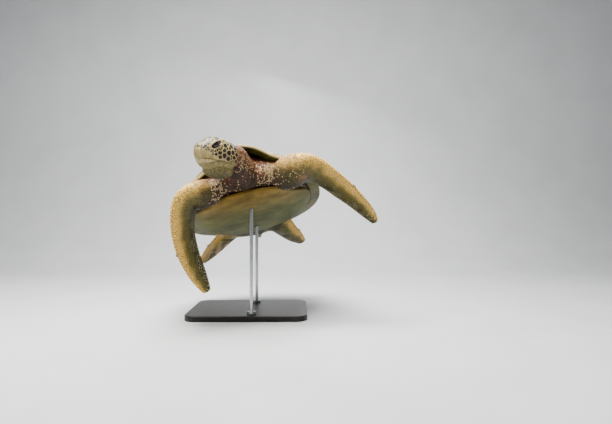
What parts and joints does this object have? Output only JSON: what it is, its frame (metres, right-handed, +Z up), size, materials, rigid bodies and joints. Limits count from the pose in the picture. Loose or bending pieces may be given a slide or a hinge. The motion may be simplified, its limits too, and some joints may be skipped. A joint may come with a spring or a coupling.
{
  "type": "green sea turtle",
  "caption": "Life-size green sea turtle in a banked swimming pose, head turned to its right, held on a flat base by upright rods.",
  "frame": {"origin": "centre of the underside of the display base, on the floor", "axes": "+Z up, -Y the way the turtle swims, +X toward the turtle's left; the body is pitched 16 degrees nose up and banked 14 degrees, right side down, above the base"},
  "size_m": [0.9134, 0.9871, 0.784],
  "materials": {
    "skin": "scaled skin with a slight wet sheen, olive brown with cream edges",
    "carapace": "smooth horny plates, olive brown with radiating pale streaks",
    "plastron": "smooth horny plates, pale ochre yellow",
    "beak": "worn horn, pale yellow",
    "eye": "wet, nearly black",
    "claw": "horn",
    "stand_board": "matt charcoal lacquer",
    "stand_steel": "brushed"
  },
  "bodies": {
    "root": {"abdominal_left": "plastron", "abdominal_right": "plastron", "anal_left": "plastron", "anal_right": "plastron", "beak_lower": "beak", "beak_upper": "beak", "bridge_left": "plastron", "bridge_right": "plastron", "costal_left_1": "carapace", "costal_left_2": "carapace", "costal_left_3": "carapace", "costal_left_4": "carapace", "costal_right_1": "carapace", "costal_right_2": "carapace", "costal_right_3": "carapace", "costal_right_4": "carapace", "eye_left": "eye", "eye_right": "eye", "femoral_left": "plastron", "femoral_right": "plastron", "front_left_arm": "skin", "front_left_claw": "claw", "front_left_flipper": "skin", "front_right_arm": "skin", "front_right_claw": "claw", "front_right_flipper": "skin", "gular_left": "plastron", "gular_right": "plastron", "head": "skin", "humeral_left": "plastron", "humeral_right": "plastron", "lower_jaw": "skin", "marginals_left": "carapace", "marginals_right": "carapace", "neck": "skin", "nuchal_scute": "carapace", "pectoral_left": "plastron", "pectoral_right": "plastron", "rear_left_claw": "claw", "rear_left_flipper": "skin", "rear_right_claw": "claw", "rear_right_flipper": "skin", "stand_base": "stand_board", "stand_collar_front": "stand_steel", "stand_collar_rear": "stand_steel", "stand_rod_front": "stand_steel", "stand_rod_rear": "stand_steel", "supracaudal_scutes": "carapace", "tail": "skin", "trunk": "skin", "vertebral_1": "carapace", "vertebral_2": "carapace", "vertebral_3": "carapace", "vertebral_4": "carapace", "vertebral_5": "carapace"}
  },
  "joints": []
}
